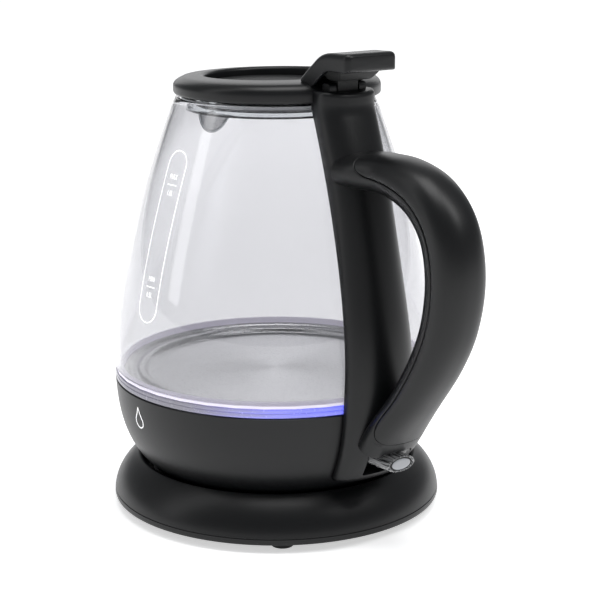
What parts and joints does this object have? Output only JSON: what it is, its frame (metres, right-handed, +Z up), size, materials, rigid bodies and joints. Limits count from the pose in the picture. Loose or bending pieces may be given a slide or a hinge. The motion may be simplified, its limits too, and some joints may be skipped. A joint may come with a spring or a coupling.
{
  "type": "electric kettle",
  "caption": "Glass jug kettle with a hinged lid, thumb tab, C-shaped handle, rocker switch and lit ring, lifting off and turning on a round power base.",
  "frame": {"origin": "centre of the flat hub under the power base, on the kettle's upright axis, 0.5 mm above the table that the feet stand on", "axes": "+Z up, +X towards the handle and switch, -X towards the pouring beak, -Y towards the water gauge"},
  "size_m": [0.226, 0.1644, 0.2303],
  "materials": {
    "black_plastic": "satin black moulded plastic",
    "dark_plastic": "matt black moulded plastic",
    "jug_glass": "clear heat-resistant glass",
    "clear_plastic": "clear moulded plastic",
    "glow_plastic": "translucent light guide lit blue",
    "silicone": "translucent food-grade silicone",
    "rubber": "black rubber",
    "stainless": "brushed stainless steel",
    "aluminium": "cast aluminium",
    "brass": "bright brass",
    "steel": "zinc-plated steel",
    "board": "green circuit board",
    "led": "clear blue light-emitting diode lens"
  },
  "bodies": {
    "power_base": {"base_cover": "black_plastic", "base_bottom_plate": "dark_plastic", "cord_inlet_bush": "rubber", "foot_1": "rubber", "foot_2": "rubber", "foot_3": "rubber", "foot_4": "rubber", "foot_5": "rubber", "base_screw_1": "steel", "base_screw_2": "steel", "base_screw_3": "steel", "base_connector": "dark_plastic", "base_contact_outer": "brass", "base_contact_inner": "brass", "base_contact_earth": "brass"},
    "contact_shutter": {"contact_shutter": "black_plastic"},
    "kettle": {"lower_housing": "black_plastic", "underside_cover": "black_plastic", "spine_cover": "black_plastic", "handle_inner": "black_plastic", "grip_cover": "black_plastic", "kettle_socket": "dark_plastic", "control_block": "dark_plastic", "spine_back": "dark_plastic", "glass_jug": "jug_glass", "light_ring": "glow_plastic", "jug_seal": "silicone", "steam_tube": "silicone", "heater_plate": "stainless", "steam_thermostat": "stainless", "heat_diffuser": "aluminium", "heater_element": "aluminium", "socket_ring_outer": "brass", "socket_ring_inner": "brass", "socket_pin": "brass", "switch_pivot_pin": "steel", "lid_hinge_pin": "steel", "underside_screw_1": "steel", "underside_screw_2": "steel", "underside_screw_3": "steel", "led_board": "board", "led_1": "led", "led_2": "led"},
    "lid": {"lid_ring": "black_plastic", "lid_panel": "dark_plastic", "lid_skirt": "clear_plastic", "lid_gasket": "silicone", "filter_frame": "dark_plastic", "filter_mesh": "stainless", "thumb_tab": "black_plastic"},
    "switch": {"switch_lever": "clear_plastic"}
  },
  "joints": [
    {"name": "kettle_swivel", "type": "hinge", "parent": "power_base", "child": "contact_shutter", "pos_m": [0, 0, 0.015], "axis": [0, 0, 1], "continuous": true},
    {"name": "kettle_lift", "type": "slide", "parent": "contact_shutter", "child": "kettle", "axis": [0, 0, 1], "range_m": [0, 0.12]},
    {"name": "lid_hinge", "type": "hinge", "parent": "kettle", "child": "lid", "pos_m": [0.0536, 0, 0.2127], "axis": [0, 1, 0], "range_deg": [0, 55]},
    {"name": "switch_rock", "type": "hinge", "parent": "kettle", "child": "switch", "pos_m": [0.0826, 0, 0.0426], "axis": [0, 1, 0], "range_deg": [0, 11]}
  ]
}
